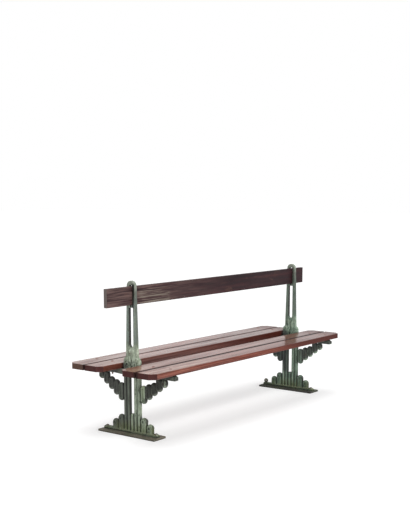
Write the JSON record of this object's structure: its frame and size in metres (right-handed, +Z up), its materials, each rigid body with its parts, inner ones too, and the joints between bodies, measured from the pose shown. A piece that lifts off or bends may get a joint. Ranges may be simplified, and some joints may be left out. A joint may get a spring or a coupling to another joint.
{
  "type": "double park bench",
  "caption": "Double-sided park bench: back-to-back plank seats on cast iron stands with stepped pipe feet and a shared back board.",
  "frame": {"origin": "on the ground, in the middle of the bench's overall box in plan", "axes": "+X along the seats, -Y towards the front seat, +Z up"},
  "size_m": [2.157, 0.71, 0.9522],
  "materials": {
    "base_plate": "rusty, rough",
    "stand": "old green paint, weathered",
    "seat_wood": "varnished, worn",
    "back_wood": "dark stain, satin",
    "fastener": "dull, lightly rusted",
    "foot_bolt": "painted over, worn"
  },
  "bodies": {
    "root": {"left_base_plate": "base_plate", "right_base_plate": "base_plate", "left_stand": "stand", "right_stand": "stand", "front_outer_plank": "seat_wood", "front_inner_plank": "seat_wood", "rear_inner_plank": "seat_wood", "rear_outer_plank": "seat_wood", "back_board": "back_wood", "front_seat_bolts": "fastener", "rear_seat_bolts": "fastener", "front_seat_washers": "fastener", "rear_seat_washers": "fastener", "front_seat_nuts": "fastener", "rear_seat_nuts": "fastener", "left_foot_bolts": "foot_bolt", "right_foot_bolts": "foot_bolt", "board_screws": "fastener", "board_screw_washers": "fastener"}
  },
  "joints": []
}
